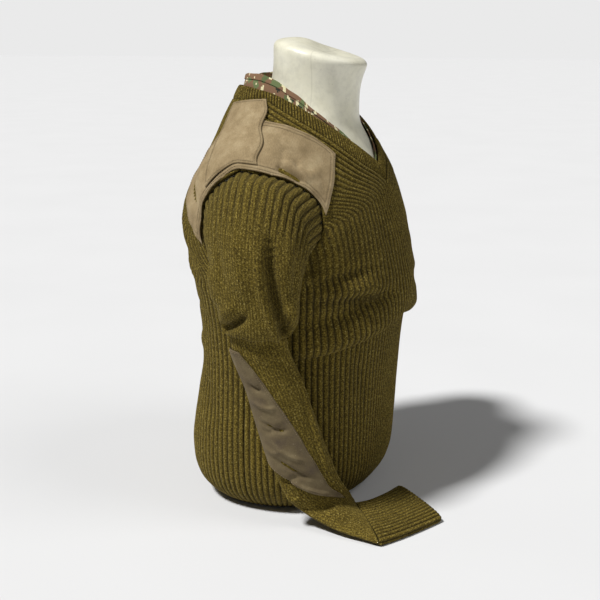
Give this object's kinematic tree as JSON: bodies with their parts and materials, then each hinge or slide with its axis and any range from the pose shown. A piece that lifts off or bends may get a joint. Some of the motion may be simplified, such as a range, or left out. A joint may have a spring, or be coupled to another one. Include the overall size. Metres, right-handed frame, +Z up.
{
  "type": "army sweater on dress form",
  "caption": "Ribbed wool V-neck army sweater with shoulder and elbow patches and shoulder straps, worn on a limbless dress form, its empty sleeves hanging down to cuffs that lie on the ground.",
  "frame": {"origin": "centre of the dress form's flat base, on the surface it stands on", "axes": "+Z up, the sweater's front faces -Y, the wearer's right side is -X"},
  "size_m": [0.4912, 0.456, 0.626],
  "materials": {
    "rib_knit_wool": "melange ribbed knit",
    "drill_patch": "matt cotton drill",
    "camouflage_cotton": "matt printed cotton",
    "form_shell": "satin off-white"
  },
  "bodies": {
    "root": {"dress_form": "form_shell", "front": "rib_knit_wool", "back": "rib_knit_wool", "neckband": "rib_knit_wool", "neck_facing": "camouflage_cotton", "sleeve_right": "rib_knit_wool", "sleeve_left": "rib_knit_wool", "cuff_right": "rib_knit_wool", "cuff_left": "rib_knit_wool", "shoulder_patch_right": "drill_patch", "shoulder_patch_left": "drill_patch", "epaulette_right": "drill_patch", "epaulette_left": "drill_patch", "elbow_patch_right": "drill_patch", "elbow_patch_left": "drill_patch"}
  },
  "joints": []
}
